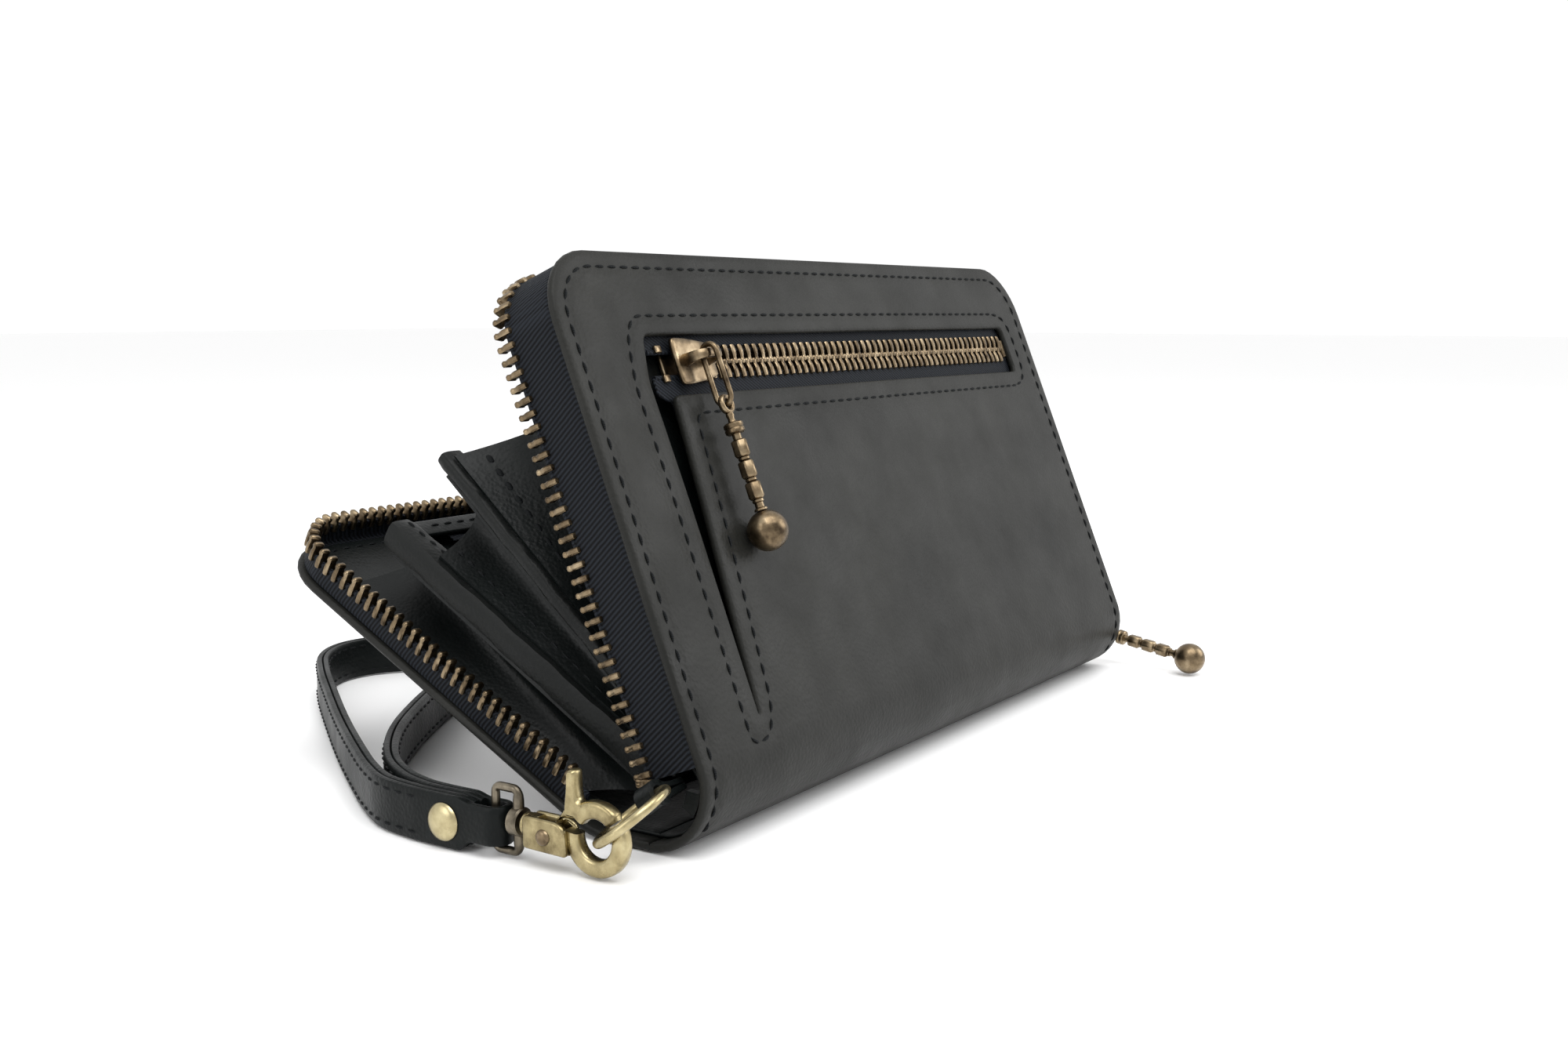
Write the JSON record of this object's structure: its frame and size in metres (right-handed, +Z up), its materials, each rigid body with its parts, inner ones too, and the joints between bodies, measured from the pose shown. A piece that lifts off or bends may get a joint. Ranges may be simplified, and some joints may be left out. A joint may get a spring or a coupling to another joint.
{
  "type": "wristlet wallet",
  "caption": "Zip-round leather wallet standing open on its spine, with bellows dividers, a zipped coin pocket, a zipped outside pocket and a clip-on wrist strap.",
  "frame": {"origin": "middle of the flat underside of the spine, on the table", "axes": "+X along the spine, away from the wrist strap; +Y from the front cover to the back cover; +Z up"},
  "size_m": [0.2088, 0.1797, 0.1021],
  "materials": {
    "outer_leather": "soft semi-gloss grained",
    "inner_leather": "soft semi-gloss",
    "strap_leather": "soft semi-gloss grained",
    "twill_tape": "matte twill",
    "antique_brass": "antique, satin",
    "polished_brass": "antique, polished",
    "gunmetal": "dark, satin"
  },
  "bodies": {
    "front_shell": {"front_panel": "outer_leather", "spine_leather": "outer_leather", "spine_lining": "inner_leather", "front_zip_tape": "twill_tape", "front_zip_teeth": "antique_brass", "pocket_tape_upper": "twill_tape", "pocket_tape_lower": "twill_tape", "pocket_teeth_upper": "antique_brass", "pocket_teeth_lower": "antique_brass", "pocket_zip_stops": "antique_brass", "front_lining": "inner_leather", "card_panel_lower": "inner_leather", "card_panel_upper": "inner_leather", "ring_tab": "inner_leather", "gusset_left_front": "inner_leather", "gusset_right_front": "inner_leather", "spine_fold": "outer_leather"},
    "back_shell": {"heel_leather": "outer_leather", "back_panel": "outer_leather", "back_lining": "inner_leather", "back_zip_tape": "twill_tape", "back_zip_teeth": "antique_brass"},
    "front_divider": {"divider_panel": "inner_leather", "divider_ridge_left": "outer_leather", "divider_ridge_right": "outer_leather", "gusset_left_middle": "inner_leather", "gusset_right_middle": "inner_leather"},
    "coin_divider": {"coin_back_panel": "inner_leather", "coin_front_panel": "inner_leather", "coin_top_band": "inner_leather", "coin_ridge_left": "outer_leather", "coin_ridge_right": "outer_leather", "coin_zip_tapes": "twill_tape", "coin_teeth_upper": "antique_brass", "coin_teeth_lower": "antique_brass", "gusset_left_back": "inner_leather", "gusset_right_back": "inner_leather"},
    "pocket_slider": {"pocket_slider": "antique_brass"},
    "pocket_pull_wire": {"pocket_pull_wire": "antique_brass"},
    "pocket_pendant": {"pocket_pendant": "antique_brass"},
    "main_slider": {"main_slider": "antique_brass"},
    "main_pull_wire": {"main_pull_wire": "antique_brass"},
    "main_pendant": {"main_pendant": "antique_brass"},
    "coin_slider": {"coin_slider": "antique_brass"},
    "coin_pull": {"coin_pull": "antique_brass"},
    "strap_ring": {"strap_ring": "polished_brass"},
    "hook": {"hook_body": "polished_brass", "gate_pivot": "antique_brass", "gate_spring": "gunmetal", "swivel_pin": "gunmetal"},
    "gate": {"hook_gate": "polished_brass"},
    "bow": {"swivel_bow": "gunmetal"},
    "strap": {"strap_outer_ply": "strap_leather", "strap_inner_ply": "strap_leather", "strap_rivet_cap": "polished_brass", "strap_rivet_post": "antique_brass"}
  },
  "joints": [
    {"name": "back_cover_hinge", "type": "hinge", "parent": "front_shell", "child": "back_shell", "pos_m": [0, -0.00465, 0.0006], "axis": [1, 0, 0], "range_deg": [0, 39.9], "deforming": ["spine_fold", "gusset_left_back", "gusset_right_back"]},
    {"name": "front_divider_hinge", "type": "hinge", "parent": "front_shell", "child": "front_divider", "pos_m": [0, -0.00734, 0.01711], "axis": [1, 0, 0], "range_deg": [0, 26.5], "deforming": ["gusset_left_front", "gusset_right_front"]},
    {"name": "coin_divider_hinge", "type": "hinge", "parent": "front_shell", "child": "coin_divider", "pos_m": [0, -0.00077, 0.01307], "axis": [1, 0, 0], "range_deg": [0, 37.4], "deforming": ["gusset_left_middle", "gusset_right_middle"]},
    {"name": "pocket_slide", "type": "slide", "parent": "front_shell", "child": "pocket_slider", "axis": [1, 0, 0], "range_m": [0, 0.127]},
    {"name": "pocket_pull_hinge", "type": "hinge", "parent": "pocket_slider", "child": "pocket_pull_wire", "pos_m": [-0.0572, 0.00676, 0.08355], "axis": [-1, 0, 0], "range_deg": [0, 150]},
    {"name": "pocket_pendant_hinge", "type": "hinge", "parent": "pocket_pull_wire", "child": "pocket_pendant", "pos_m": [-0.0572, 0.00298, 0.07413], "axis": [0, -0.9278, 0.373], "range_deg": [-25, 25]},
    {"name": "main_slide", "type": "slide", "parent": "front_shell", "child": "main_slider", "axis": [0, 0.373, 0.9278], "range_m": [0, 0.072]},
    {"name": "main_pull_hinge", "type": "hinge", "parent": "main_slider", "child": "main_pull_wire", "pos_m": [0.0964, -0.00215, 0.01125], "axis": [-1, 0, 0], "range_deg": [0, 75]},
    {"name": "main_pendant_hinge", "type": "hinge", "parent": "main_pull_wire", "child": "main_pendant", "pos_m": [0.0964, -0.01077, 0.0074], "axis": [-1, 0, 0], "range_deg": [-40, 55]},
    {"name": "coin_slide", "type": "slide", "parent": "coin_divider", "child": "coin_slider", "axis": [1, 0, 0], "range_m": [0, 0.134]},
    {"name": "coin_pull_hinge", "type": "hinge", "parent": "coin_slider", "child": "coin_pull", "pos_m": [-0.06392, 0.05157, 0.04929], "axis": [0, -0.5105, 0.8599], "range_deg": [-18, 18]},
    {"name": "ring_hinge", "type": "hinge", "parent": "front_shell", "child": "strap_ring", "pos_m": [-0.096, -0.0089, 0.0115], "axis": [0, -0.809, 0.5878], "range_deg": [0, 6]},
    {"name": "hook_on_ring", "type": "hinge", "parent": "strap_ring", "child": "hook", "pos_m": [-0.106, -0.0056, 0.0065], "axis": [1, 0, 0], "range_deg": [0, 8]},
    {"name": "gate_hinge", "type": "hinge", "parent": "hook", "child": "gate", "pos_m": [-0.106, 0.0044, 0.0055], "axis": [-1, 0, 0], "range_deg": [0, 30], "stiffness_Nm_per_rad": 0.02, "springref_deg": -22.92},
    {"name": "swivel", "type": "hinge", "parent": "hook", "child": "bow", "pos_m": [-0.106, 0.0104, 0.0065], "axis": [0, 1, 0], "range_deg": [-8, 8]},
    {"name": "strap_hinge", "type": "hinge", "parent": "bow", "child": "strap", "pos_m": [-0.106, 0.0166, 0.0065], "axis": [0, 0, 1], "range_deg": [0, 90]}
  ],
  "couplings": [
    {"joint": "front_divider_hinge", "follows": "back_cover_hinge", "ratio": 0.66416},
    {"joint": "coin_divider_hinge", "follows": "back_cover_hinge", "ratio": 0.93734}
  ]
}
